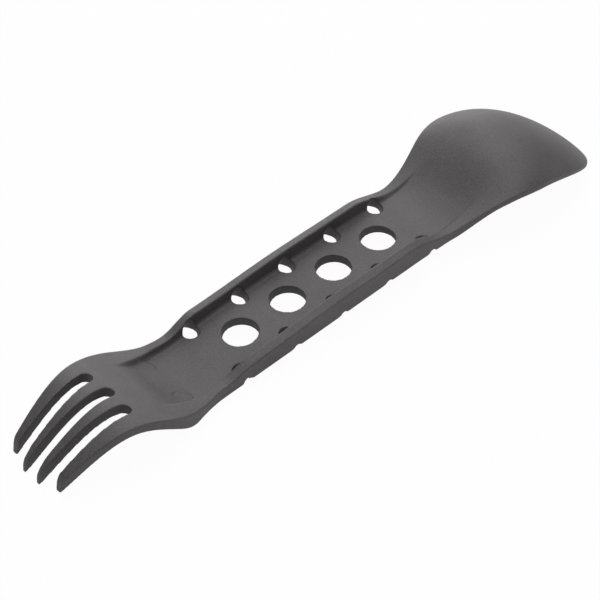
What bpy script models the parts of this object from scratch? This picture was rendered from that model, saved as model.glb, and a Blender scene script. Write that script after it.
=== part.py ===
# Camping fork and spoon: one moulded utensil with a four-tined fork at one end and a spoon at the other.
# Built back side up, handle along X with the spoon towards +X, then laid on its fork end and spoon tip.
import math

import bmesh
import bpy
from mathutils import Matrix, Vector

MM = 0.001

# Handle: a shallow channel with a rail along each side
HANDLE_WIDTH = 22.0 * MM
PLATE_BOTTOM = -2.65 * MM
RAIL_WIDTH = 2.15 * MM
RAIL_TOP_FALL = 0.55 * MM
RAIL_EDGE_RADIUS = 0.4 * MM
WALL_DRAFT = 0.18 * MM
WALL_FOOT_RADIUS = 0.8 * MM
HANDLE_BOTTOM_RADIUS = 1.15 * MM
FLAT_FLOOR_LENGTH = 32.0 * MM
RAIL_MIDDLE_TOP = 3.25 * MM
RAIL_FORK_END_X = -26.5 * MM
RAIL_FORK_END_TOP = 2.45 * MM
RAIL_SPOON_END_X = 22.3 * MM
RAIL_SPOON_END_TOP = 3.05 * MM

# Row of large holes down the middle, and drain bores in the corners between floor and rails
HOLE_COUNT = 4
HOLE_DIAMETER = 8.5 * MM
HOLE_PITCH = 14.5 * MM
HOLE_ROW_X = 0.15 * MM
HOLE_LEAN = math.radians(8.0)
BORE_COUNT = 5
BORE_DIAMETER = 3.9 * MM
BORE_PITCH = 14.5 * MM
BORE_Y = 7.75 * MM
BORE_LEAN = math.radians(26.0)

# Neck and shoulder at the fork end
FORK_NECK_X = -35.5 * MM
FORK_NECK_WIDTH = 21.2 * MM
FORK_NECK_TOP = 0.45 * MM
FORK_NECK_FLOOR = -1.0 * MM
FORK_NECK_BOTTOM_RADIUS = 0.45 * MM
FORK_RAMP_X = -39.2 * MM
FORK_HEEL_X = -44.5 * MM
FORK_HEEL_BOTTOM = -2.7 * MM
FORK_HEEL_BOTTOM_RADIUS = 1.5 * MM
FORK_RAIL_FADE_X = -55.5 * MM
FORK_WALL_END_Y = 7.8 * MM
SHOULDER_X = -49.7 * MM
SHOULDER_WIDTH = 26.1 * MM
SHOULDER_EDGE = 4.1 * MM
SHOULDER_UNDER_SLOPE = -0.78

# Fork: an arched plate cut into four tines
FORK_FLANK_X = -55.2 * MM
FORK_FLANK_WIDTH = 25.1 * MM
FORK_FLANK_TAPER = 0.17
FORK_CREST_X = -62.0 * MM
FORK_CREST_TOP = 8.45 * MM
FORK_CREST_EDGE = 2.3 * MM
FORK_CROWN = 0.75 * MM
FORK_UNDER_CROWN = 0.3 * MM
FORK_CROWN_END_X = -50.0 * MM
FORK_EDGE_RADIUS = 0.5 * MM
FORK_BEND_X = -76.0 * MM
FORK_BEND_TOP = 3.58 * MM
FORK_BEND_SLOPE = 0.55
FORK_TIP_X = -80.2 * MM
FORK_TIP_WIDTH = 15.0 * MM
FORK_TIP_TAPER = 0.23
FORK_TIP_TOP = -0.6 * MM
FORK_TIP_SLOPE = 1.35
FORK_TIP_EDGE = 1.05 * MM
FORK_TIP_UNDER_SLOPE = 0.52
FORK_TIP_LEAN = 0.12
INNER_TIP_X = -80.1 * MM
OUTER_TIP_X = -78.65 * MM
SLOT_ROOT_X = -57.8 * MM
MIDDLE_SLOT_ROOT_X = -57.1 * MM
SLOT_ROOT_WIDTH = 3.0 * MM
SLOT_TIP_WIDTH = 3.3 * MM
OUTER_SLOT_ROOT_Y = 6.27 * MM
OUTER_SLOT_TIP_Y = 4.6 * MM

# Neck at the spoon end
SPOON_NECK_X = 36.1 * MM
SPOON_NECK_TOP = 0.0 * MM
SPOON_NECK_FLOOR = -0.83 * MM
SPOON_NECK_EDGE = 2.65 * MM
SPOON_NECK_BOTTOM_RADIUS = 0.7 * MM
SPOON_RAIL_FADE_X = 51.0 * MM
SPOON_WALL_END_Y = 8.4 * MM
HANDLE_FLARE_X = 32.9 * MM

# Spoon bowl, dome upwards
BOWL_FLANK_X = 48.9 * MM
BOWL_FLANK_WIDTH = 28.9 * MM
BOWL_FLANK_FLARE = 0.375
BOWL_FLANK_EDGE = 1.55 * MM
BOWL_WIDEST_X = 61.2 * MM
BOWL_WIDTH = 34.1 * MM
BOWL_TIP_X = 88.1 * MM
BOWL_BLUNTNESS = 2.95
RIM_PEAK_X = 54.7 * MM
RIM_PEAK_TOP = 3.9 * MM
RIM_TIP_TOP = -8.2 * MM
RIM_TIP_SLOPE = -0.58
RIM_TIP_EDGE = 1.0 * MM
RIM_EDGE_RADIUS = 0.3 * MM
DOME_START_X = 42.5 * MM
DOME_CREST_X = 64.8 * MM
DOME_RISE = 5.1 * MM
HOLLOW_START_X = 45.7 * MM
HOLLOW_RISE = 4.55 * MM
RIM_LIP = 1.6 * MM

# Planes where the moulding is divided into its named portions
TINE_CUT_X = -60.0 * MM
FORK_CUT_X = -33.0 * MM
SPOON_CUT_X = 33.0 * MM
BOWL_CUT_X = 49.5 * MM
RAIL_CUT_INSET = 0.15 * MM
REACH = 200.0 * MM

CUTTER_DEPTH = 30.0 * MM
BORE_CUTTER_DEPTH = 10.0 * MM

PLASTIC_COLOUR = (0.118, 0.112, 0.107, 1.0)
PLASTIC_ROUGHNESS = 0.62

for old in list(bpy.data.objects):
    bpy.data.objects.remove(old)
scene = bpy.context.scene
utensil = bpy.data.collections.new("camping_fork_spoon")
cutters = bpy.data.collections.new("cutters")
scene.collection.children.link(utensil)
scene.collection.children.link(cutters)
cutters.hide_render = True


def between(x, knots):
    """A smooth curve through (x, value, slope) points, level beyond its ends."""
    if x <= knots[0][0]:
        return knots[0][1]
    for (x0, v0, s0), (x1, v1, s1) in zip(knots, knots[1:]):
        if x <= x1:
            h = x1 - x0
            t = (x - x0) / h
            rise = t * t * (3.0 - 2.0 * t)
            start = t * (1.0 - t) ** 2 * h * s0
            finish = t * t * (t - 1.0) * h * s1
            return v0 + (v1 - v0) * rise + start + finish
    return knots[-1][1]


def step_up(x, x0, x1):
    t = min(max((x - x0) / (x1 - x0), 0.0), 1.0)
    return t * t * (3.0 - 2.0 * t)


def half_width(x):
    if x > BOWL_WIDEST_X:
        u = min((x - BOWL_WIDEST_X) / (BOWL_TIP_X - BOWL_WIDEST_X), 1.0)
        return BOWL_WIDTH / 2 * (1.0 - u**BOWL_BLUNTNESS) ** (1.0 / BOWL_BLUNTNESS)
    return between(
        x,
        [
            (FORK_TIP_X, FORK_TIP_WIDTH / 2, FORK_TIP_TAPER),
            (FORK_FLANK_X, FORK_FLANK_WIDTH / 2, FORK_FLANK_TAPER),
            (SHOULDER_X, SHOULDER_WIDTH / 2, 0.0),
            (FORK_NECK_X, FORK_NECK_WIDTH / 2, 0.0),
            (RAIL_FORK_END_X, HANDLE_WIDTH / 2, 0.0),
            (HANDLE_FLARE_X, HANDLE_WIDTH / 2, 0.0),
            (BOWL_FLANK_X, BOWL_FLANK_WIDTH / 2, BOWL_FLANK_FLARE),
            (BOWL_WIDEST_X, BOWL_WIDTH / 2, 0.0),
        ],
    )


def edge_top(x):
    """Height of the outer top edge: tine edge, shoulder, rail top or spoon rim."""
    return between(
        x,
        [
            (FORK_TIP_X, FORK_TIP_TOP, FORK_TIP_SLOPE),
            (FORK_BEND_X, FORK_BEND_TOP, FORK_BEND_SLOPE),
            (FORK_CREST_X, FORK_CREST_TOP, 0.0),
            (FORK_RAMP_X, FORK_NECK_TOP, 0.0),
            (FORK_NECK_X, FORK_NECK_TOP, 0.0),
            (RAIL_FORK_END_X, RAIL_FORK_END_TOP, 0.0),
            (0.0, RAIL_MIDDLE_TOP, 0.0),
            (RAIL_SPOON_END_X, RAIL_SPOON_END_TOP, 0.0),
            (SPOON_NECK_X, SPOON_NECK_TOP, 0.0),
            (RIM_PEAK_X, RIM_PEAK_TOP, 0.0),
            (BOWL_TIP_X, RIM_TIP_TOP, RIM_TIP_SLOPE),
        ],
    )


def slope_of(curve, x):
    reach = 0.01 * MM
    return (curve(x + reach) - curve(x - reach)) / (2.0 * reach)


def floor_height(x):
    """Height of the channel floor, which runs out into the fork plate and the spoon's dome."""
    if x <= FORK_RAIL_FADE_X or x >= SPOON_RAIL_FADE_X:
        return edge_top(x)
    return between(
        x,
        [
            (FORK_RAIL_FADE_X, edge_top(FORK_RAIL_FADE_X), slope_of(edge_top, FORK_RAIL_FADE_X)),
            (FORK_RAMP_X, FORK_NECK_FLOOR, 0.0),
            (FORK_NECK_X, FORK_NECK_FLOOR, 0.0),
            (-FLAT_FLOOR_LENGTH / 2, 0.0, 0.0),
            (FLAT_FLOOR_LENGTH / 2, 0.0, 0.0),
            (SPOON_NECK_X, SPOON_NECK_FLOOR, 0.0),
            (SPOON_RAIL_FADE_X, edge_top(SPOON_RAIL_FADE_X), slope_of(edge_top, SPOON_RAIL_FADE_X)),
        ],
    )


def edge_bottom(x):
    """Height of the outer bottom edge, under the fork, the flat handle and the spoon's rim."""
    if x > SPOON_NECK_X:
        thickness = [
            (SPOON_NECK_X, SPOON_NECK_EDGE, 0.0),
            (BOWL_FLANK_X, BOWL_FLANK_EDGE, 0.0),
            (BOWL_TIP_X, RIM_TIP_EDGE, 0.0),
        ]
        return edge_top(x) - between(x, thickness)
    return between(
        x,
        [
            (FORK_TIP_X, FORK_TIP_TOP - FORK_TIP_EDGE, FORK_TIP_UNDER_SLOPE),
            (FORK_CREST_X, FORK_CREST_TOP - FORK_CREST_EDGE, 0.0),
            (SHOULDER_X, edge_top(SHOULDER_X) - SHOULDER_EDGE, SHOULDER_UNDER_SLOPE),
            (FORK_HEEL_X, FORK_HEEL_BOTTOM, 0.0),
            (RAIL_FORK_END_X, PLATE_BOTTOM, 0.0),
            (RAIL_SPOON_END_X, PLATE_BOTTOM, 0.0),
            (SPOON_NECK_X, SPOON_NECK_TOP - SPOON_NECK_EDGE, 0.0),
        ],
    )


def wall_inside(x):
    """Distance of the rails' inner walls from the middle line."""
    straight = HANDLE_WIDTH / 2 - RAIL_WIDTH
    return between(
        x,
        [
            (FORK_RAIL_FADE_X, FORK_WALL_END_Y, 0.0),
            (FORK_RAMP_X, straight, 0.0),
            (SPOON_NECK_X, straight, 0.0),
            (SPOON_RAIL_FADE_X, SPOON_WALL_END_Y, 0.0),
        ],
    )


def bump(x, start, crest, finish, rise):
    """A rise that grows smoothly from its start to its crest and falls off roundly to its finish."""
    if x <= crest:
        return rise * step_up(x, start, crest)
    u = min((x - crest) / (finish - crest), 1.0)
    return rise * (1.0 - u * u) ** 0.6


def fork_arch(x):
    """Share of the fork plate's crown that is left on the way to the handle."""
    return 1.0 - step_up(x, FORK_CREST_X, FORK_CROWN_END_X)


def top_crown(x):
    if x < 0.0:
        return FORK_CROWN * fork_arch(x)
    return bump(x, DOME_START_X, DOME_CREST_X, BOWL_TIP_X, DOME_RISE)


def bottom_crown(x):
    if x < 0.0:
        return FORK_UNDER_CROWN * fork_arch(x)
    return bump(x, HOLLOW_START_X, DOME_CREST_X, BOWL_TIP_X - RIM_LIP, HOLLOW_RISE)


def across(y, half):
    """Share of the crown left at this distance from the middle line."""
    s = min(abs(y) / half, 1.0)
    return (1.0 - s**2.1) ** 0.85


def bottom_radius(x):
    return between(
        x,
        [
            (FORK_CREST_X, FORK_EDGE_RADIUS, 0.0),
            (FORK_HEEL_X, FORK_HEEL_BOTTOM_RADIUS, 0.0),
            (FORK_NECK_X, FORK_NECK_BOTTOM_RADIUS, 0.0),
            (RAIL_FORK_END_X, HANDLE_BOTTOM_RADIUS, 0.0),
            (RAIL_SPOON_END_X, HANDLE_BOTTOM_RADIUS, 0.0),
            (SPOON_NECK_X, SPOON_NECK_BOTTOM_RADIUS, 0.0),
            (BOWL_FLANK_X, RIM_EDGE_RADIUS, 0.0),
        ],
    )


def half_section(x):
    """Points (y, z) of half a cross-section, from the middle of the top round to the middle underneath."""
    half = half_width(x)
    small = min(half / (HANDLE_WIDTH / 2), 1.0)
    floor = floor_height(x)
    rail = edge_top(x) - floor
    crown = top_crown(x)
    thin = edge_top(x) - edge_bottom(x)
    rail_inner = min(wall_inside(x), half - RAIL_WIDTH * small)
    foot = rail_inner - (WALL_DRAFT + WALL_FOOT_RADIUS) * small
    round_top = min(RAIL_EDGE_RADIUS * small, 0.4 * thin)
    round_low = min(bottom_radius(x) * small, 0.45 * thin)
    points = []

    def top(y, lift):
        points.append((y, floor + crown * across(y, half) + lift))

    for share in (0.0, 0.3, 0.6, 0.85, 1.0):
        top(foot * share, 0.0)
    sweep = min(WALL_FOOT_RADIUS * small, 0.7 * rail)
    for k in (1, 2, 3):
        turn = math.radians(28.0 * k)
        top(foot + WALL_FOOT_RADIUS * small * math.sin(turn), sweep * (1.0 - math.cos(turn)))
    wall_top = max(rail - min(round_top, 0.5 * rail), sweep)
    top_fall = RAIL_TOP_FALL * rail / RAIL_MIDDLE_TOP
    top(rail_inner - 0.05 * RAIL_WIDTH * small, wall_top + top_fall)
    shelf = half - round_top - (rail_inner + round_top)
    for share in (0.0, 0.3, 0.6, 0.85):
        top(rail_inner + round_top + shelf * share, rail + top_fall * (1.0 - share))
    brim = crown * across(half - round_top, half)
    for turn in (0.0, 30.0, 60.0, 90.0):
        a = math.radians(turn)
        drop = round_top * (1.0 - math.cos(a))
        points.append((half - round_top + round_top * math.sin(a), edge_top(x) + brim * math.cos(a) - drop))
    for turn in (0.0, 30.0, 60.0, 90.0):
        a = math.radians(turn)
        z = edge_bottom(x) + round_low * (1.0 - math.sin(a))
        points.append((half - round_low * (1.0 - math.cos(a)), z))
    inner = half - max(round_low, RIM_LIP * small)
    low_crown = bottom_crown(x)
    for share in (0.97, 0.85, 0.6, 0.3, 0.0):
        y = inner * share
        points.append((y, edge_bottom(x) + low_crown * across(y, inner)))
    return points


def stations():
    """Positions along X of the lofted sections, closest together where the shape turns most."""
    spans = [
        (FORK_TIP_X - 0.6 * MM, FORK_TIP_X, 1),
        (FORK_TIP_X, FORK_BEND_X, 5),
        (FORK_BEND_X, FORK_CREST_X, 9),
        (FORK_CREST_X, FORK_NECK_X, 16),
        (FORK_NECK_X, RAIL_FORK_END_X, 8),
        (RAIL_FORK_END_X, RAIL_SPOON_END_X, 8),
        (RAIL_SPOON_END_X, SPOON_NECK_X, 8),
        (SPOON_NECK_X, BOWL_WIDEST_X, 16),
    ]
    found = []
    for start, finish, count in spans:
        found += [start + (finish - start) * k / count for k in range(count)]
    length = BOWL_TIP_X - BOWL_WIDEST_X
    found += [BOWL_WIDEST_X + length * math.sin(math.radians(86.0 * k / 16)) for k in range(17)]
    return found


def loft_moulding():
    body = bmesh.new()
    rings = []
    for x in stations():
        half = half_section(x)
        ring = half + [(-y, z) for y, z in reversed(half[1:-1])]
        rings.append([body.verts.new((x, y, z)) for y, z in ring])
    count = len(rings[0])
    for first, second in zip(rings, rings[1:]):
        for k in range(count):
            body.faces.new((first[k], first[(k + 1) % count], second[(k + 1) % count], second[k]))
    body.faces.new(rings[0])
    body.faces.new(list(reversed(rings[-1])))
    bmesh.ops.recalc_face_normals(body, faces=body.faces)
    mesh = bpy.data.meshes.new("moulding")
    body.to_mesh(mesh)
    body.free()
    return mesh


def cutter(name, mesh):
    helper = bpy.data.objects.new(name, mesh)
    cutters.objects.link(helper)
    helper.hide_render = True
    helper.display_type = "WIRE"
    return helper


def cylinder(name, radius, depth, place):
    body = bmesh.new()
    ends = {"radius1": radius, "radius2": radius, "depth": depth}
    bmesh.ops.create_cone(body, cap_ends=True, segments=40, matrix=place, **ends)
    mesh = bpy.data.meshes.new(name)
    body.to_mesh(mesh)
    body.free()
    return cutter(name, mesh)


def box(name, low, high):
    body = bmesh.new()
    middle = [(a + b) / 2 for a, b in zip(low, high)]
    size = [b - a for a, b in zip(low, high)]
    place = Matrix.Translation(middle) @ Matrix.Diagonal((*size, 1.0))
    bmesh.ops.create_cube(body, size=1.0, matrix=place)
    mesh = bpy.data.meshes.new(name)
    body.to_mesh(mesh)
    body.free()
    return cutter(name, mesh)


def upright(name, outline):
    """A plan outline made into an upright block that passes through the whole moulding."""
    drawn = bpy.data.curves.new(name, "CURVE")
    drawn.dimensions = "2D"
    drawn.fill_mode = "BOTH"
    drawn.extrude = CUTTER_DEPTH
    line = drawn.splines.new("POLY")
    line.points.add(len(outline) - 1)
    for point, (x, y) in zip(line.points, outline):
        point.co = (x, y, 0.0, 1.0)
    line.use_cyclic_u = True
    helper = bpy.data.objects.new(name + "_outline", drawn)
    cutters.objects.link(helper)
    bpy.context.view_layer.update()
    mesh = bpy.data.meshes.new_from_object(helper.evaluated_get(bpy.context.evaluated_depsgraph_get()))
    bpy.data.objects.remove(helper)
    body = bmesh.new()
    body.from_mesh(mesh)
    bmesh.ops.remove_doubles(body, verts=body.verts, dist=0.0001 * MM)
    bmesh.ops.recalc_face_normals(body, faces=body.faces)
    body.to_mesh(mesh)
    body.free()
    mesh.name = name
    return cutter(name, mesh)


def cut(mesh, tools, operation):
    """The mesh after each tool has been taken from it, or kept in common with it."""
    work = bpy.data.objects.new("work", mesh)
    scene.collection.objects.link(work)
    for tool in tools:
        change = work.modifiers.new(tool.name, "BOOLEAN")
        change.operation = operation
        change.solver = "EXACT"
        change.object = tool
    bpy.context.view_layer.update()
    result = bpy.data.meshes.new_from_object(work.evaluated_get(bpy.context.evaluated_depsgraph_get()))
    bpy.data.objects.remove(work)
    return result


def slot_middle(side, x):
    """Plan position of a slot's middle line; side is -1, 0 or 1."""
    share = (x - SLOT_ROOT_X) / (OUTER_TIP_X - SLOT_ROOT_X)
    return side * (OUTER_SLOT_ROOT_Y + (OUTER_SLOT_TIP_Y - OUTER_SLOT_ROOT_Y) * share)


def slot_half(x):
    share = (x - SLOT_ROOT_X) / (OUTER_TIP_X - SLOT_ROOT_X)
    return (SLOT_ROOT_WIDTH + (SLOT_TIP_WIDTH - SLOT_ROOT_WIDTH) * share) / 2


def slot(name, side, root_x):
    past = FORK_TIP_X - 5.0 * MM
    radius = slot_half(root_x)
    centre_x = root_x - radius
    middle = slot_middle(side, centre_x)
    outline = [(past, slot_middle(side, past) - slot_half(past))]
    for k in range(13):
        turn = math.radians(-90.0 + 15.0 * k)
        outline.append((centre_x + radius * math.cos(turn), middle + radius * math.sin(turn)))
    outline.append((past, slot_middle(side, past) + slot_half(past)))
    return upright(name, outline)


def tip_trimmer(name):
    """Everything beyond the four rounded tine tips, which lean so that their undersides reach furthest."""
    far = FORK_TIP_X - 8.0 * MM
    wide = SHOULDER_WIDTH
    outline = [(far, -wide)]
    for side in (-1, -0.5, 0.5, 1):
        tip = OUTER_TIP_X if abs(side) == 1 else INNER_TIP_X
        if abs(side) == 1:
            inside = abs(slot_middle(1, tip)) + slot_half(tip)
            outside = half_width(tip)
        else:
            inside = slot_half(tip)
            outside = slot_middle(1, tip) - slot_half(tip)
        middle = math.copysign((inside + outside) / 2, side)
        radius = (outside - inside) / 2 * 1.02
        ledge = tip + radius
        outline.append((ledge, -wide if side == -1 else middle - radius))
        for k in range(9):
            turn = math.radians(-90.0 + 22.5 * k)
            outline.append((ledge - radius * math.cos(turn), middle + radius * math.sin(turn)))
    outline.append((ledge, wide))
    outline.append((far, wide))
    clean = [outline[0]]
    for point in outline[1:]:
        if (Vector(point) - Vector(clean[-1])).length > 0.02 * MM:
            clean.append(point)
    trimmer = upright(name, clean)
    slanted = Matrix.Identity(4)
    slanted[0][2] = FORK_TIP_LEAN
    slanted[0][3] = -FORK_TIP_LEAN * (FORK_TIP_TOP - FORK_TIP_EDGE)
    trimmer.data.transform(slanted)
    return trimmer


holes = []
for n in range(HOLE_COUNT):
    x = HOLE_ROW_X + HOLE_PITCH * (n - (HOLE_COUNT - 1) / 2)
    place = Matrix.Translation((x, 0.0, 0.0)) @ Matrix.Rotation(-HOLE_LEAN, 4, "Y")
    holes.append(cylinder(f"hole_cutter_{n + 1}", HOLE_DIAMETER / 2, CUTTER_DEPTH, place))
for side in (-1, 1):
    for n in range(BORE_COUNT):
        x = BORE_PITCH * (n - (BORE_COUNT - 1) / 2)
        lean = Matrix.Rotation(side * BORE_LEAN, 4, "X")
        place = Matrix.Translation((x, side * BORE_Y, 0.0)) @ lean
        name = f"bore_cutter_{'left' if side == 1 else 'right'}_{n + 1}"
        holes.append(cylinder(name, BORE_DIAMETER / 2, BORE_CUTTER_DEPTH, place))
slots = [
    slot("slot_cutter_right", -1, SLOT_ROOT_X),
    slot("slot_cutter_middle", 0, MIDDLE_SLOT_ROOT_X),
    slot("slot_cutter_left", 1, SLOT_ROOT_X),
]
moulding = cut(loft_moulding(), holes + slots + [tip_trimmer("tip_cutter")], "DIFFERENCE")

# Laid down: turned about Y until the lowest points of fork end and spoon are level, then set on the ground
turn = Matrix.Identity(4)
for k in range(6):
    laid = [turn @ point.co for point in moulding.vertices]
    fork_low = min((p for p in laid if p.x < FORK_CUT_X), key=lambda p: p.z)
    spoon_low = min((p for p in laid if p.x > BOWL_CUT_X), key=lambda p: p.z)
    slope = math.atan2(spoon_low.z - fork_low.z, spoon_low.x - fork_low.x)
    turn = Matrix.Rotation(slope, 4, "Y") @ turn
low_x = min(p.x for p in laid)
high_x = max(p.x for p in laid)
low_z = min(p.z for p in laid)
lay_down = Matrix.Translation((-(low_x + high_x) / 2, 0.0, -low_z)) @ turn

RAIL_CUT_Y = HANDLE_WIDTH / 2 - RAIL_WIDTH - WALL_DRAFT - WALL_FOOT_RADIUS - RAIL_CUT_INSET
TINE_CUT_Y = (OUTER_SLOT_ROOT_Y + OUTER_SLOT_TIP_Y) / 2
PORTIONS = {
    "tine_outer_right": (-REACH, TINE_CUT_X, -REACH, -TINE_CUT_Y),
    "tine_inner_right": (-REACH, TINE_CUT_X, -TINE_CUT_Y, 0.0),
    "tine_inner_left": (-REACH, TINE_CUT_X, 0.0, TINE_CUT_Y),
    "tine_outer_left": (-REACH, TINE_CUT_X, TINE_CUT_Y, REACH),
    "fork_head": (TINE_CUT_X, FORK_CUT_X, -REACH, REACH),
    "channel_floor": (FORK_CUT_X, SPOON_CUT_X, -RAIL_CUT_Y, RAIL_CUT_Y),
    "left_rail": (FORK_CUT_X, SPOON_CUT_X, RAIL_CUT_Y, REACH),
    "right_rail": (FORK_CUT_X, SPOON_CUT_X, -REACH, -RAIL_CUT_Y),
    "spoon_neck": (SPOON_CUT_X, BOWL_CUT_X, -REACH, REACH),
    "spoon_bowl": (BOWL_CUT_X, REACH, -REACH, REACH),
}
for name, (x0, x1, y0, y1) in PORTIONS.items():
    block = box(name + "_block", (x0, y0, -REACH), (x1, y1, REACH))
    mesh = cut(moulding.copy(), [block], "INTERSECT")
    mesh.transform(lay_down)
    mesh.name = name
    plastic = bpy.data.materials.new(name + "_plastic")
    plastic.use_nodes = True
    shader = plastic.node_tree.nodes["Principled BSDF"]
    shader.inputs["Base Color"].default_value = PLASTIC_COLOUR
    shader.inputs["Roughness"].default_value = PLASTIC_ROUGHNESS
    shader.inputs["Metallic"].default_value = 0.0
    mesh.materials.clear()
    mesh.materials.append(plastic)
    mesh.shade_smooth()
    mesh.set_sharp_from_angle(angle=math.radians(35.0))
    utensil.objects.link(bpy.data.objects.new(name, mesh))
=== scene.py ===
import math

import bmesh
import bpy
import numpy as np
from mathutils import Matrix, Vector


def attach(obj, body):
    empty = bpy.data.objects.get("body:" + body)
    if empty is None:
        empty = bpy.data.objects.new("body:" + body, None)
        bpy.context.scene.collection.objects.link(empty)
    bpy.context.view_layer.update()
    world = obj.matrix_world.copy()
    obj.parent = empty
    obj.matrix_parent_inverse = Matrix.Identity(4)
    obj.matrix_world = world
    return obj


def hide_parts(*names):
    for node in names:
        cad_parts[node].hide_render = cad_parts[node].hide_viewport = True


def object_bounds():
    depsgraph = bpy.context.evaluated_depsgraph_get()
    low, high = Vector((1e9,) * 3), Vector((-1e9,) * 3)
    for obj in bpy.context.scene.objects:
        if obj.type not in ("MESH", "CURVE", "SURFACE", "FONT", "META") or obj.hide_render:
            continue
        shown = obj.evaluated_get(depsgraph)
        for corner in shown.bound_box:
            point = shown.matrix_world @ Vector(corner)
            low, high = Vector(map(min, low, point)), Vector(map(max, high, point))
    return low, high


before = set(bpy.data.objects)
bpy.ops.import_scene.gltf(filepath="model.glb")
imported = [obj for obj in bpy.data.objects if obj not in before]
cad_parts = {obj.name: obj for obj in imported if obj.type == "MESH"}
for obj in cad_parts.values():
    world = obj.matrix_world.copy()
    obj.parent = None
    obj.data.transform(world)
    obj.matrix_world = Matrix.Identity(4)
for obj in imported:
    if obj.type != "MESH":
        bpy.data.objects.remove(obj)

scene = bpy.context.scene
cad_box = [list(corner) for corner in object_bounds()]

# Moulded blank: the whole utensil before its holes and slots, one shot of glass-filled plastic in a
# two-part mould. It is drawn back side up with the handle along X, as cross-sections that change smoothly
# from the fork's tips to the spoon's tip.
MM = 0.001
HANDLE_HALF = 11.0 * MM
RAIL_WIDTH = 2.35 * MM
RAIL_HEIGHT = 3.25 * MM
RAIL_TOP_FALL = 0.55 * MM
RAIL_ROUND = 0.3 * MM
FOOT_ROUND = 0.8 * MM
WALL_DRAFT = 0.18 * MM
FORK_TIP_X = -80.2 * MM
FORK_CREST_X = -62.0 * MM
FORK_CROWN_END_X = -50.0 * MM
FORK_CROWN = 0.75 * MM
FORK_HOLLOW = 0.3 * MM
FORK_FADE_X = -51.0 * MM
SPOON_FADE_X = 51.0 * MM
SPOON_NECK_X = 36.1 * MM
BOWL_WIDEST_X = 61.2 * MM
BOWL_HALF = 17.05 * MM
BOWL_TIP_X = 88.1 * MM
BOWL_BLUNTNESS = 2.95
DOME_START_X = 42.5 * MM
DOME_CREST_X = 64.8 * MM
DOME_RISE = 5.1 * MM
DOME_FALL_POWER = 0.6
HOLLOW_START_X = 45.7 * MM
HOLLOW_RISE = 4.55 * MM
RIM_LIP = 1.6 * MM
CROSS_FULLNESS = 2.1
CROSS_POWER = 0.85
TOP_ROUND_MOST = 0.4
UNDER_ROUND_MOST = 0.45
FOOT_ROUND_MOST = 0.7
LIP_ROUND_MOST = 0.5
FLOOR_STEPS = 20
FOOT_STEPS = 6
FOOT_TURN = 84.0
LIP_STEPS = 4
SHELF_STEPS = 11
CORNER_STEPS = 6
UNDER_STEPS = 24
STRAIGHT_STATIONS = 280
NOSE_STATIONS = 70
NOSE_TURN = 86.0
TIP_OVERRUN = 0.6 * MM


def flowing(x, knots):
    """A smooth line through (x, value, slope) points given in millimetres, level beyond its ends."""
    x = x / MM
    if x <= knots[0][0]:
        return knots[0][1] * MM
    for (x0, v0, s0), (x1, v1, s1) in zip(knots, knots[1:]):
        if x <= x1:
            span = x1 - x0
            t = (x - x0) / span
            value = v0 + (v1 - v0) * t * t * (3.0 - 2.0 * t)
            value += t * (1.0 - t) ** 2 * span * s0 + t * t * (t - 1.0) * span * s1
            return value * MM
    return knots[-1][1] * MM


def easing(x, start, finish):
    """A smooth step from 0 at the start to 1 at the finish."""
    t = min(max((x - start) / (finish - start), 0.0), 1.0)
    return t * t * (3.0 - 2.0 * t)


WIDTH_LINE = [(-80.2, 7.5, 0.23), (-55.2, 12.55, 0.17), (-49.7, 13.05, 0.0), (-35.5, 10.6, 0.0),
              (-26.5, 11.0, 0.0), (32.9, 11.0, 0.0), (48.9, 14.45, 0.375), (61.2, 17.05, 0.0)]
EDGE_LINE = [(-80.2, -0.6, 1.35), (-76.0, 3.58, 0.55), (-62.0, 8.45, 0.0), (-39.2, 0.45, 0.0),
             (-35.5, 0.45, 0.0), (-26.5, 2.45, 0.0), (0.0, 3.25, 0.0), (22.3, 3.05, 0.0),
             (36.1, 0.0, 0.0), (54.7, 3.9, 0.0), (88.1, -8.2, -0.58)]


def half_width(x):
    if x > BOWL_WIDEST_X:
        u = min((x - BOWL_WIDEST_X) / (BOWL_TIP_X - BOWL_WIDEST_X), 1.0)
        return BOWL_HALF * (1.0 - u**BOWL_BLUNTNESS) ** (1.0 / BOWL_BLUNTNESS)
    return flowing(x, WIDTH_LINE)


def edge_top(x):
    return flowing(x, EDGE_LINE)


def edge_knot(x):
    """The (x, value, slope) point of the edge's top at x, for a line that runs into it."""
    step = 0.01 * MM
    slope = (edge_top(x + step) - edge_top(x - step)) / (2.0 * step)
    return x / MM, edge_top(x) / MM, slope


FLOOR_LINE = [edge_knot(FORK_FADE_X), (-47.4, 2.2, -0.76), (-43.6, 0.05, -0.36), (-39.2, -1.0, 0.0),
              (-35.5, -1.0, 0.0), (-16.0, 0.0, 0.0), (16.0, 0.0, 0.0), (36.1, -0.6, 0.0),
              edge_knot(SPOON_FADE_X)]
BOTTOM_LINE = [(-80.2, -1.65, 0.52), (-62.0, 6.15, 0.0), (-49.7, edge_top(-49.7 * MM) / MM - 4.1, -0.78),
               (-44.5, -2.7, 0.0), (-26.5, -2.65, 0.0), (22.3, -2.65, 0.0), (36.1, -2.65, 0.0)]
RIM_LINE = [(36.1, 2.65, 0.0), (48.9, 1.55, 0.0), (88.1, 1.0, 0.0)]
WALL_LINE = [(-51.0, 7.9, 0.0), (-39.2, 8.65, 0.0), (34.0, 8.65, 0.0), (51.0, 9.0, 0.0)]
UNDER_ROUND_LINE = [(-62.0, 0.5, 0.0), (-44.5, 1.5, 0.0), (-35.5, 0.45, 0.0), (-26.5, 1.15, 0.0),
                    (22.3, 1.15, 0.0), (36.1, 0.7, 0.0), (48.9, 0.3, 0.0)]


def floor_height(x):
    if x <= FORK_FADE_X or x >= SPOON_FADE_X:
        return edge_top(x)
    return flowing(x, FLOOR_LINE)


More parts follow.
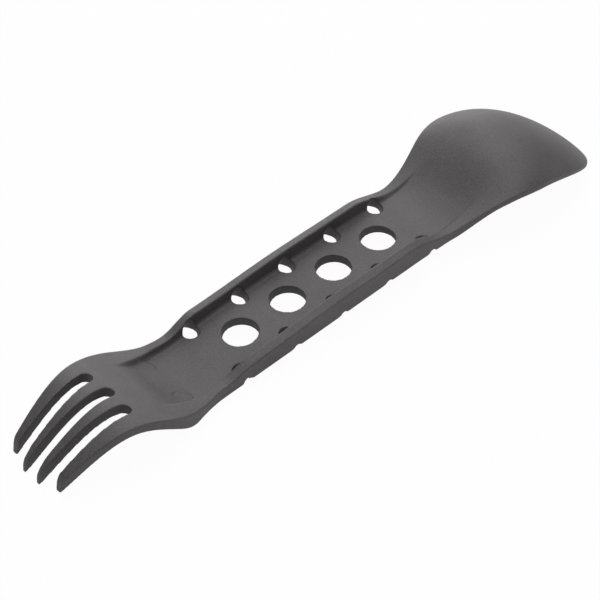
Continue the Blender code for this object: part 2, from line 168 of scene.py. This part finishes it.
def edge_bottom(x):
    if x > SPOON_NECK_X:
        return edge_top(x) - flowing(x, RIM_LINE)
    return flowing(x, BOTTOM_LINE)


def swell(x, start, finish, rise):
    """How far the bowl's dome or hollow stands above its rim along the middle."""
    if x <= DOME_CREST_X:
        return rise * easing(x, start, DOME_CREST_X)
    u = min((x - DOME_CREST_X) / (finish - DOME_CREST_X), 1.0)
    return rise * (1.0 - u * u) ** DOME_FALL_POWER


def crown_above(x):
    if x < 0.0:
        return FORK_CROWN * (1.0 - easing(x, FORK_CREST_X, FORK_CROWN_END_X))
    return swell(x, DOME_START_X, BOWL_TIP_X, DOME_RISE)


def crown_below(x):
    if x < 0.0:
        return FORK_HOLLOW * (1.0 - easing(x, FORK_CREST_X, FORK_CROWN_END_X))
    return swell(x, HOLLOW_START_X, BOWL_TIP_X - RIM_LIP, HOLLOW_RISE)


def across(y, half):
    """The share of the crown's height that is left at y, from 1 in the middle to 0 at the edge."""
    s = min(abs(y) / half, 1.0)
    return (1.0 - s**CROSS_FULLNESS) ** CROSS_POWER


def half_section(x):
    """(y, z) points from the middle of the top, over the rail and round the edge, to the middle below."""
    half = half_width(x)
    small = min(half / HANDLE_HALF, 1.0)
    floor = floor_height(x)
    top = edge_top(x)
    low = edge_bottom(x)
    rail = top - floor
    crown = crown_above(x)
    wall = min(flowing(x, WALL_LINE), half - RAIL_WIDTH * small)
    foot = wall - (WALL_DRAFT + FOOT_ROUND) * small
    round_top = min(RAIL_ROUND * small, TOP_ROUND_MOST * (top - low))
    round_low = min(flowing(x, UNDER_ROUND_LINE) * small, UNDER_ROUND_MOST * (top - low))
    sweep = min(FOOT_ROUND * small, FOOT_ROUND_MOST * rail)
    lean = RAIL_TOP_FALL * rail / RAIL_HEIGHT
    corner = min(round_top, LIP_ROUND_MOST * rail)
    points = []
    for k in range(FLOOR_STEPS + 1):
        y = foot * k / FLOOR_STEPS
        points.append((y, floor + crown * across(y, half)))
    for k in range(1, FOOT_STEPS + 1):
        turn = math.radians(FOOT_TURN * k / FOOT_STEPS)
        y = foot + FOOT_ROUND * small * math.sin(turn)
        points.append((y, floor + crown * across(y, half) + sweep * (1.0 - math.cos(turn))))
    shelf_start = wall + round_top
    for k in range(LIP_STEPS + 1):
        turn = math.radians(90.0 * k / LIP_STEPS)
        y = shelf_start - round_top * math.cos(turn)
        lift = max(rail - corner * (1.0 - math.sin(turn)), sweep)
        points.append((y, floor + crown * across(y, half) + lift + lean))
    shelf_end = half - round_top
    for k in range(1, SHELF_STEPS + 1):
        y = shelf_start + (shelf_end - shelf_start) * k / SHELF_STEPS
        points.append((y, floor + crown * across(y, half) + rail + lean * (1.0 - k / SHELF_STEPS)))
    brim = crown * across(shelf_end, half)
    for k in range(1, CORNER_STEPS + 1):
        turn = math.radians(90.0 * k / CORNER_STEPS)
        z = top + brim * math.cos(turn) - round_top * (1.0 - math.cos(turn))
        points.append((shelf_end + round_top * math.sin(turn), z))
    for k in range(CORNER_STEPS + 1):
        turn = math.radians(90.0 * k / CORNER_STEPS)
        y = half - round_low * (1.0 - math.cos(turn))
        points.append((y, low + round_low * (1.0 - math.sin(turn))))
    inner = half - max(round_low, RIM_LIP * small)
    sink = crown_below(x)
    for k in range(1, UNDER_STEPS + 1):
        y = inner * math.cos(math.radians(90.0 * k / UNDER_STEPS))
        points.append((max(y, 0.0), low + sink * across(y, inner)))
    return points


def stations():
    """The places along X where a section is drawn, closer together towards the bowl's tip."""
    found = [FORK_TIP_X - TIP_OVERRUN]
    for k in range(STRAIGHT_STATIONS):
        found.append(FORK_TIP_X + (BOWL_WIDEST_X - FORK_TIP_X) * k / STRAIGHT_STATIONS)
    for k in range(NOSE_STATIONS + 1):
        turn = math.radians(NOSE_TURN * k / NOSE_STATIONS)
        found.append(BOWL_WIDEST_X + (BOWL_TIP_X - BOWL_WIDEST_X) * math.sin(turn))
    return found


def new_mesh(name, body):
    """A mesh with its faces outwards; the body that it is made from goes."""
    mesh = bpy.data.meshes.new(name)
    bmesh.ops.recalc_face_normals(body, faces=body.faces)
    body.to_mesh(mesh)
    body.free()
    return mesh


def in_scene(name, mesh):
    thing = bpy.data.objects.new(name, mesh)
    scene.collection.objects.link(thing)
    return thing


body = bmesh.new()
rings = []
for x in stations():
    half = half_section(x)
    ring = half + [(-y, z) for y, z in reversed(half[1:-1])]
    rings.append([body.verts.new((x, y, z)) for y, z in ring])
for first, second in zip(rings, rings[1:]):
    for k in range(len(first)):
        n = (k + 1) % len(first)
        body.faces.new((first[k], first[n], second[n], second[k]))
body.faces.new(rings[0])
body.faces.new(list(reversed(rings[-1])))
blank = in_scene("blank", new_mesh("blank", body))

# Plastic: the dark warm grey of glass-filled nylon, coloured right through and matte.
# It has the fine even grain of an etched mould and a faint cloudiness from the way the melt flowed.
DARK_GREY = (0.011, 0.0095, 0.0095, 1.0)
PALE_GREY = (0.139, 0.129, 0.130, 1.0)
GRAIN_SCALE = 2600.0
CLOUD_SCALE = 110.0
GRAIN_SHARE = 0.7
SMOOTHEST = 0.44
ROUGHEST = 0.56
GRAIN_STRENGTH = 0.7
GRAIN_HEIGHT = 0.06 * MM


def add(tree, kind, **settings):
    node = tree.nodes.new(kind)
    for key, value in settings.items():
        setattr(node, key, value)
    return node


plastic = bpy.data.materials.new("dark_grey_moulded_plastic")
plastic.use_nodes = True
tree = plastic.node_tree
shader = tree.nodes["Principled BSDF"]
where = add(tree, "ShaderNodeTexCoord")
grain = add(tree, "ShaderNodeTexNoise")
grain.inputs["Scale"].default_value = GRAIN_SCALE
grain.inputs["Detail"].default_value = 3.0
grain.inputs["Roughness"].default_value = 0.6
cloud = add(tree, "ShaderNodeTexNoise")
cloud.inputs["Scale"].default_value = CLOUD_SCALE
cloud.inputs["Detail"].default_value = 2.0
speckle = add(tree, "ShaderNodeMix", data_type="FLOAT")
speckle.inputs["Factor"].default_value = GRAIN_SHARE
tint = add(tree, "ShaderNodeMix", data_type="RGBA")
tint.inputs["A"].default_value = DARK_GREY
tint.inputs["B"].default_value = PALE_GREY
rough = add(tree, "ShaderNodeMapRange")
rough.inputs["To Min"].default_value = SMOOTHEST
rough.inputs["To Max"].default_value = ROUGHEST
bump = add(tree, "ShaderNodeBump")
bump.inputs["Strength"].default_value = GRAIN_STRENGTH
bump.inputs["Distance"].default_value = GRAIN_HEIGHT
for source, target in (
    (where.outputs["Object"], grain.inputs["Vector"]),
    (where.outputs["Object"], cloud.inputs["Vector"]),
    (cloud.outputs["Fac"], speckle.inputs[2]),
    (grain.outputs["Fac"], speckle.inputs[3]),
    (speckle.outputs[0], tint.inputs["Factor"]),
    (tint.outputs["Result"], shader.inputs["Base Color"]),
    (grain.outputs["Fac"], rough.inputs["Value"]),
    (rough.outputs["Result"], shader.inputs["Roughness"]),
    (grain.outputs["Fac"], bump.inputs["Height"]),
    (bump.outputs["Normal"], shader.inputs["Normal"]),
):
    tree.links.new(source, target)

# Perforations: a row of large holes down the middle of the channel and a row of small leaning drain bores
# in each corner between floor and rail. Core pins in the mould leave them, so each row has one size and
# pitch. The right row leans more and comes out through the handle's lower edge as shallow notches.
HOLE_COUNT = 4
HOLE_DIAMETER = 8.25 * MM
HOLE_PITCH = 14.5 * MM
HOLE_ROW_X = 0.15 * MM
HOLE_LEAN = math.radians(8.0)
HOLE_PIN_LENGTH = 30.0 * MM
BORE_COUNT = 5
BORE_DIAMETER = 3.9 * MM
BORE_PITCH = 14.5 * MM
BORE_PIN_LENGTH = 10.0 * MM
BORE_ROWS = {
    "left_drain_pins": (7.75 * MM, math.radians(26.0)),
    "right_drain_pins": (-7.93 * MM, math.radians(-29.5)),
}
PIN_SIDES = 96

pins = bpy.data.node_groups.new("row_of_core_pins", "GeometryNodeTree")
for label, kind in (
    ("Count", "NodeSocketInt"),
    ("Pitch", "NodeSocketFloat"),
    ("Diameter", "NodeSocketFloat"),
    ("Depth", "NodeSocketFloat"),
    ("Row Place", "NodeSocketVector"),
    ("Lean", "NodeSocketVector"),
    ("Material", "NodeSocketMaterial"),
):
    pins.interface.new_socket(label, in_out="INPUT", socket_type=kind)
pins.interface.new_socket("Geometry", in_out="OUTPUT", socket_type="NodeSocketGeometry")
given = add(pins, "NodeGroupInput")
shown = add(pins, "NodeGroupOutput")
gaps = add(pins, "ShaderNodeMath", operation="SUBTRACT")
gaps.inputs[1].default_value = 1.0
half_gaps = add(pins, "ShaderNodeMath", operation="MULTIPLY")
half_gaps.inputs[1].default_value = -0.5
first_x = add(pins, "ShaderNodeMath", operation="MULTIPLY")
first_point = add(pins, "ShaderNodeCombineXYZ")
row_start = add(pins, "ShaderNodeVectorMath", operation="ADD")
row_step = add(pins, "ShaderNodeCombineXYZ")
row_line = add(pins, "GeometryNodeMeshLine")
pin_radius = add(pins, "ShaderNodeMath", operation="MULTIPLY")
pin_radius.inputs[1].default_value = 0.5
pin = add(pins, "GeometryNodeMeshCylinder")
pin.inputs["Vertices"].default_value = PIN_SIDES
placed = add(pins, "GeometryNodeInstanceOnPoints")
real = add(pins, "GeometryNodeRealizeInstances")
dressed = add(pins, "GeometryNodeSetMaterial")
for source, target in (
    (given.outputs["Count"], gaps.inputs[0]),
    (gaps.outputs[0], half_gaps.inputs[0]),
    (half_gaps.outputs[0], first_x.inputs[0]),
    (given.outputs["Pitch"], first_x.inputs[1]),
    (first_x.outputs[0], first_point.inputs["X"]),
    (first_point.outputs[0], row_start.inputs[0]),
    (given.outputs["Row Place"], row_start.inputs[1]),
    (given.outputs["Pitch"], row_step.inputs["X"]),
    (given.outputs["Count"], row_line.inputs["Count"]),
    (row_start.outputs[0], row_line.inputs["Start Location"]),
    (row_step.outputs[0], row_line.inputs["Offset"]),
    (given.outputs["Diameter"], pin_radius.inputs[0]),
    (pin_radius.outputs[0], pin.inputs["Radius"]),
    (given.outputs["Depth"], pin.inputs["Depth"]),
    (given.outputs["Lean"], placed.inputs["Rotation"]),
    (row_line.outputs["Mesh"], placed.inputs["Points"]),
    (pin.outputs["Mesh"], placed.inputs["Instance"]),
    (placed.outputs["Instances"], real.inputs["Geometry"]),
    (real.outputs["Geometry"], dressed.inputs["Geometry"]),
    (given.outputs["Material"], dressed.inputs["Material"]),
    (dressed.outputs["Geometry"], shown.inputs["Geometry"]),
):
    pins.links.new(source, target)


def baked(helper):
    """The helper's finished shape as a plain mesh; the helper itself goes."""
    bpy.context.view_layer.update()
    mesh = bpy.data.meshes.new_from_object(helper.evaluated_get(bpy.context.evaluated_depsgraph_get()))
    bpy.data.objects.remove(helper)
    return mesh


def pin_row(name, sizes):
    helper = in_scene(name, bpy.data.meshes.new(name))
    change = helper.modifiers.new("pins", "NODES")
    change.node_group = pins
    for item in pins.interface.items_tree:
        if item.in_out == "INPUT":
            change[item.identifier] = sizes[item.name]
    return in_scene(name, baked(helper))


hole_sizes = {
    "Count": HOLE_COUNT,
    "Pitch": HOLE_PITCH,
    "Diameter": HOLE_DIAMETER,
    "Depth": HOLE_PIN_LENGTH,
    "Row Place": (HOLE_ROW_X, 0.0, 0.0),
    "Lean": (0.0, -HOLE_LEAN, 0.0),
    "Material": plastic,
}
tools = [pin_row("hole_pins", hole_sizes)]
for name, (row_y, lean) in BORE_ROWS.items():
    bore_sizes = {
        "Count": BORE_COUNT,
        "Pitch": BORE_PITCH,
        "Diameter": BORE_DIAMETER,
        "Depth": BORE_PIN_LENGTH,
        "Row Place": (0.0, row_y, 0.0),
        "Lean": (lean, 0.0, 0.0),
        "Material": plastic,
    }
    tools.append(pin_row(name, bore_sizes))

# Fork tines: four prongs of the same plastic, parted by three slots where the mould's steel shuts off.
# Their ends are nearly flat in plan with rounded corners and lean a little, undersides furthest out.
# The outer pair stops short of the inner pair.
INNER_TIP_X = -79.85 * MM
OUTER_TIP_X = -78.5 * MM
TIP_FLATNESS = 0.62
TIP_BOW = 0.7
TIP_SPREAD = 1.02
TIP_STEPS = 32
TIP_LEAN = 0.12
TIP_BOTTOM = -1.65 * MM
SLOT_WIDTHS = (3.0 * MM, 3.3 * MM)
SLOT_PLACES = (6.27 * MM, 4.6 * MM)
SLOT_ROOT_X = -57.8 * MM
MIDDLE_ROOT_X = -57.1 * MM
SLOT_ROOTS = {
    "right_slot": (-1, SLOT_ROOT_X),
    "middle_slot": (0, MIDDLE_ROOT_X),
    "left_slot": (1, SLOT_ROOT_X),
}
ROOT_STEPS = 36
SLOT_END_X = FORK_TIP_X - 5.0 * MM
CLEARED_X = FORK_TIP_X - 8.0 * MM
CLEARED_HALF = 26.0 * MM
BLOCK_HALF = 30.0 * MM
SAME_POINT = 0.01 * MM


def along_slot(pair, x):
    """A slot's width or place at x, between its value at the root and at the outer tips."""
    share = (x - SLOT_ROOT_X) / (OUTER_TIP_X - SLOT_ROOT_X)
    return pair[0] + (pair[1] - pair[0]) * share


def upright(name, outline):
    """A plan outline made into an upright block."""
    body = bmesh.new()
    rings = [[body.verts.new((x, y, z)) for x, y in outline] for z in (-BLOCK_HALF, BLOCK_HALF)]
    for k in range(len(outline)):
        n = (k + 1) % len(outline)
        body.faces.new((rings[0][k], rings[0][n], rings[1][n], rings[1][k]))
    body.faces.new(rings[0])
    body.faces.new(rings[1])
    return in_scene(name, new_mesh(name, body))


for name, (side, root) in SLOT_ROOTS.items():
    radius = along_slot(SLOT_WIDTHS, root) / 2
    centre = side * along_slot(SLOT_PLACES, root - radius)
    end_centre = side * along_slot(SLOT_PLACES, SLOT_END_X)
    end_half = along_slot(SLOT_WIDTHS, SLOT_END_X) / 2
    outline = [(SLOT_END_X, end_centre - end_half)]
    for k in range(ROOT_STEPS + 1):
        turn = math.radians(-90.0 + 180.0 * k / ROOT_STEPS)
        outline.append((root - radius + radius * math.cos(turn), centre + radius * math.sin(turn)))
    outline.append((SLOT_END_X, end_centre + end_half))
    tools.append(upright(name, outline))

outline = [(CLEARED_X, -CLEARED_HALF)]
for side in (-1, -0.5, 0.5, 1):
    tip = OUTER_TIP_X if abs(side) == 1 else INNER_TIP_X
    inside = along_slot(SLOT_WIDTHS, tip) / 2
    outside = along_slot(SLOT_PLACES, tip) - inside
    if abs(side) == 1:
        inside = along_slot(SLOT_PLACES, tip) + inside
        outside = half_width(tip)
    middle = math.copysign((inside + outside) / 2, side)
    radius = (outside - inside) / 2 * TIP_SPREAD
    bow = TIP_BOW * radius
    outline.append((tip + bow, -CLEARED_HALF if side == -1 else middle - radius))
    for k in range(TIP_STEPS + 1):
        turn = math.radians(-90.0 + 180.0 * k / TIP_STEPS)
        aside = math.copysign(abs(math.sin(turn)) ** TIP_FLATNESS, turn)
        back = 1.0 - abs(math.cos(turn)) ** TIP_FLATNESS
        outline.append((tip + bow * back, middle + radius * aside))
outline += [(tip + bow, CLEARED_HALF), (CLEARED_X, CLEARED_HALF)]
kept = [outline[0]]
for point in outline[1:]:
    if (Vector(point) - Vector(kept[-1])).length > SAME_POINT:
        kept.append(point)
tips = upright("tips", kept)
slant = Matrix.Identity(4)
slant[0][2] = TIP_LEAN
slant[0][3] = -TIP_LEAN * TIP_BOTTOM
tips.data.transform(slant)
tools.append(tips)

# Moulded skin: the blank with its holes and slots opened, as one closed surface of the same plastic.
# Every edge is softened a little, as a moulding's edges are when it leaves the steel.
SKIN_STEP = 0.206 * MM
SOFTENING = 0.5
EDGE_ROUNDS = 2

for tool in tools:
    change = blank.modifiers.new(tool.name, "BOOLEAN")
    change.operation = "DIFFERENCE"
    change.solver = "MANIFOLD"
    change.object = tool
change = blank.modifiers.new("skin", "REMESH")
change.mode = "VOXEL"
change.voxel_size = SKIN_STEP
change = blank.modifiers.new("soft_edges", "SMOOTH")
change.factor = SOFTENING
change.iterations = EDGE_ROUNDS
skin = baked(blank)
for tool in tools:
    bpy.data.objects.remove(tool)
places = np.empty(len(skin.vertices) * 3, np.float32)
skin.vertices.foreach_get("co", places)
places = places.reshape(-1, 3)
x = places[:, 0]
y = places[:, 1]
z = places[:, 2]

# Tine noses: the last millimetre of each prong, rounded down on its back, which lies upwards here.
# Each nose is given by its tip, the share of the height that is left at the tip, and its length.
TINE_Y = 5.435 * MM
NOSES_END_X = -74.0 * MM
NOSE_SAMPLES = 80
TINE_NOSES = {"outer": (OUTER_TIP_X, 0.3, 1.1 * MM), "inner": (INNER_TIP_X, 0.75, 0.8 * MM)}

marks = np.linspace(FORK_TIP_X, FORK_CREST_X, NOSE_SAMPLES)
underside = np.interp(x, marks, [edge_bottom(mark) for mark in marks])
for pair, (tip, end_share, nose) in TINE_NOSES.items():
    of_tine = (x < NOSES_END_X) & ((np.abs(y) > TINE_Y) == (pair == "outer"))
    reach = np.clip((x - tip - TIP_LEAN * (z - TIP_BOTTOM)) / nose, 0.0, 1.0)
    height = end_share + (1.0 - end_share) * np.sqrt(1.0 - (1.0 - reach) ** 2)
    z[of_tine] = (underside + (z - underside) * height)[of_tine]

# Ejector marks: two faint ring lines at the fork end of the channel, left by the pins that push the
# moulding out of its mould. Only the arc of each towards the spoon and the left is deep enough to show.
EJECTOR_X = -43.5 * MM
EJECTOR_Y = 6.1 * MM
EJECTOR_RADIUS = 2.25 * MM
GROOVE_WIDTH = 0.22 * MM
GROOVE_DEPTH = 0.16 * MM
ARC_START = -0.2
ARC_FADE = 0.6
HANDLE_BOTTOM = -2.65 * MM
UPPER_SIDE_Z = HANDLE_BOTTOM + 0.9 * MM

for side in (-1, 1):
    away = x - EJECTOR_X
    aside = y - side * EJECTOR_Y
    distance = np.maximum(np.hypot(away, aside), SAME_POINT)
    facing = (away + aside) / (math.sqrt(2.0) * distance)
    arc = np.clip((facing - ARC_START) / ARC_FADE, 0.0, 1.0)
    groove = GROOVE_DEPTH * np.exp(-(((distance - EJECTOR_RADIUS) / GROOVE_WIDTH) ** 2)) * arc
    on_top = (z > UPPER_SIDE_Z) & (side * y > 0.0)
    z[on_top] -= groove[on_top]
skin.vertices.foreach_set("co", places.ravel())

# Right rail's end: where that rail runs out on the neck, its inner corner is blended away in the mould and
# the two surfaces flow together. The left rail keeps its line.
MELT_START_X = 37.0 * MM
MELT_END_X = 54.0 * MM
MELT_FADE = 3.0 * MM
MELT_Y = -8.8 * MM
MELT_HALF = 3.4 * MM
MELT_SIDE_FADE = 1.5 * MM
MELT_DEPTH = 0.5 * MM
MELT_ROUNDS = 40
MELT_SAMPLES = 60

marks = np.linspace(SPOON_NECK_X, MELT_END_X, MELT_SAMPLES)
ground = np.interp(x, marks, [floor_height(mark) for mark in marks])
melt = np.clip((x - MELT_START_X) / MELT_FADE, 0.0, 1.0)
melt *= np.clip((MELT_END_X - x) / MELT_FADE, 0.0, 1.0)
melt *= np.clip((MELT_HALF - np.abs(y - MELT_Y)) / MELT_SIDE_FADE, 0.0, 1.0)
melt *= z > ground - MELT_DEPTH
moulding = in_scene("skin", skin)
melted = moulding.vertex_groups.new(name="melted_rail_end")
for index in np.flatnonzero(melt > 0.0).tolist():
    melted.add([index], float(melt[index]), "REPLACE")
change = moulding.modifiers.new("melt", "SMOOTH")
change.factor = SOFTENING
change.iterations = MELT_ROUNDS
change.vertex_group = melted.name
skin = baked(moulding)

# Portions: the moulding is one piece, divided only in name where the tines, fork plate, handle, rails, neck
# and bowl meet. It lies on its fork and spoon tips inside the solids' box, and each portion is cut from the
# one skin by a block, so that the surface runs on across every plane.
LIE_DOWN = Matrix.Translation((-4.228 * MM, 0.0, 5.043 * MM))
LIE_DOWN = LIE_DOWN @ Matrix.Rotation(math.radians(-2.6755), 4, "Y")
FAR = 100.0 * MM
RAIL_Y = 7.72 * MM
FORK_X = -60.0 * MM
HANDLE_X = -33.0 * MM
NECK_X = 33.0 * MM
BOWL_X = 49.5 * MM
PLANES = ((0, FORK_X), (0, HANDLE_X), (0, NECK_X), (0, BOWL_X), (1, -RAIL_Y), (1, RAIL_Y))
SNAP = 0.4 * SKIN_STEP
ON_PLANE = 0.001 * MM
PORTIONS = {
    "outer_right_tine": ("tine_outer_right", -FAR, FORK_X, -FAR, -TINE_Y),
    "inner_right_tine": ("tine_inner_right", -FAR, FORK_X, -TINE_Y, 0.0),
    "inner_left_tine": ("tine_inner_left", -FAR, FORK_X, 0.0, TINE_Y),
    "outer_left_tine": ("tine_outer_left", -FAR, FORK_X, TINE_Y, FAR),
    "fork_plate": ("fork_head", FORK_X, HANDLE_X, -FAR, FAR),
    "handle_floor": ("channel_floor", HANDLE_X, NECK_X, -RAIL_Y, RAIL_Y),
    "handle_rail_left": ("left_rail", HANDLE_X, NECK_X, RAIL_Y, FAR),
    "handle_rail_right": ("right_rail", HANDLE_X, NECK_X, -FAR, -RAIL_Y),
    "bowl_neck": ("spoon_neck", NECK_X, BOWL_X, -FAR, FAR),
    "bowl": ("spoon_bowl", BOWL_X, FAR, -FAR, FAR),
}

skin.transform(LIE_DOWN)
places = np.empty(len(skin.vertices) * 3, np.float32)
skin.vertices.foreach_get("co", places)
skin.vertices.foreach_set("co", np.clip(places.reshape(-1, 3), cad_box[0], cad_box[1]).ravel())
skin.transform(LIE_DOWN.inverted())
skin.vertices.foreach_get("co", places)
places = places.reshape(-1, 3)
for axis, plane in PLANES:
    near = np.abs(places[:, axis] - plane) < SNAP
    places[near, axis] = plane
skin.vertices.foreach_set("co", places.ravel())
skin.materials.clear()
skin.materials.append(plastic)

for name, (node, x0, x1, y0, y1) in PORTIONS.items():
    block = upright(name + "_block", [(x0, y0), (x1, y0), (x1, y1), (x0, y1)])
    whole = in_scene(name + "_whole", skin.copy())
    change = whole.modifiers.new("block", "BOOLEAN")
    change.operation = "INTERSECT"
    change.solver = "MANIFOLD"
    change.object = block
    mesh = baked(whole)
    bpy.data.objects.remove(block)
    mesh.shade_smooth()
    for face in mesh.polygons:
        middle = face.center
        to_plane = min(abs(middle.x - x0), abs(middle.x - x1), abs(middle.y - y0), abs(middle.y - y1))
        if to_plane < ON_PLANE:
            face.use_smooth = False
            for corner in face.loop_indices:
                mesh.edges[mesh.loops[corner].edge_index].use_edge_sharp = True
    mesh.transform(LIE_DOWN)
    piece = in_scene(name, mesh)
    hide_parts(node)
    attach(piece, "root")

# Table: a plain sheet of white card that fills the view and carries the utensil.
# It looks white by itself to the camera, shows faintly in gloss, and keeps the utensil's soft shadow.
TABLE_HALF = 2.0
TABLE_WHITE = (0.86, 0.86, 0.86, 1.0)
SEEN_GLOW = 0.965
MIRRORED_GLOW = 0.2

body = bmesh.new()
bmesh.ops.create_grid(body, x_segments=1, y_segments=1, size=TABLE_HALF)
floor = in_scene("table", new_mesh("table", body))
paper = bpy.data.materials.new("white_table")
paper.use_nodes = True
tree = paper.node_tree
paint = tree.nodes["Principled BSDF"]
paint.inputs["Base Color"].default_value = TABLE_WHITE
paint.inputs["Roughness"].default_value = 0.9
glow = add(tree, "ShaderNodeEmission")
seen = add(tree, "ShaderNodeLightPath")
mirrored = add(tree, "ShaderNodeMath", operation="ADD")
dimmed = add(tree, "ShaderNodeMath", operation="MULTIPLY")
dimmed.inputs[1].default_value = MIRRORED_GLOW
blend = add(tree, "ShaderNodeMath", operation="MULTIPLY_ADD")
blend.inputs[1].default_value = SEEN_GLOW
mixed = add(tree, "ShaderNodeMixShader")
out = tree.nodes["Material Output"]
for source, target in (
    (seen.outputs["Is Glossy Ray"], mirrored.inputs[0]),
    (seen.outputs["Is Transmission Ray"], mirrored.inputs[1]),
    (mirrored.outputs[0], dimmed.inputs[0]),
    (seen.outputs["Is Camera Ray"], blend.inputs[0]),
    (dimmed.outputs[0], blend.inputs[2]),
    (blend.outputs[0], mixed.inputs[0]),
    (paint.outputs[0], mixed.inputs[1]),
    (glow.outputs[0], mixed.inputs[2]),
    (mixed.outputs[0], out.inputs["Surface"]),
):
    tree.links.new(source, target)
floor.data.materials.append(paper)

# Studio light: a wide soft box behind and one overhead, low cards behind and on the right, and a dim white
# room. The box behind lies where the upper faces mirror it, which gives the plastic its broad sheen.
# Each lamp is given by its turn and height in degrees, its width and height in metres, and its level.
ROOM_LEVEL = 0.27
LAMPS = {
    "back_box": (45.0, 45.0, 1.0, 1.0, 1.62),
    "overhead_box": (0.0, 90.0, 0.9, 0.9, 1.72),
    "back_card": (62.0, 5.0, 1.0, 0.2, 3.0),
    "right_card": (295.0, 10.0, 1.0, 0.35, 1.0),
}

world = bpy.data.worlds.new("studio")
scene.world = world
world.use_nodes = True
room = world.node_tree.nodes["Background"]
room.inputs["Color"].default_value = (1.0, 1.0, 1.0, 1.0)
room.inputs["Strength"].default_value = ROOM_LEVEL
for name, (turn, height, wide, high, level) in LAMPS.items():
    light = bpy.data.lights.new(name, "AREA")
    light.shape = "RECTANGLE"
    light.size = wide
    light.size_y = high
    light.energy = level * math.pi * wide * high
    turn = math.radians(turn)
    height = math.radians(height)
    aim = Vector((math.cos(height) * math.cos(turn), math.cos(height) * math.sin(turn), math.sin(height)))
    lamp = in_scene(name, light)
    lamp.location = aim
    lamp.rotation_euler = aim.to_track_quat("Z", "Y").to_euler()

# Camera: the photograph's view, from the fork's right and above, with a long lens.
# Its place and turn were fitted to the large holes and the straight handle.
lens = bpy.data.cameras.new("view")
lens.lens = 108.83
lens.sensor_width = 36.0
camera = in_scene("view", lens)
camera.location = (-0.223442, -0.208352, 0.280078)
camera.rotation_euler = [math.radians(turn) for turn in (47.1457, -1.9161, -44.2832)]
scene.camera = camera
scene.view_settings.view_transform = "Standard"
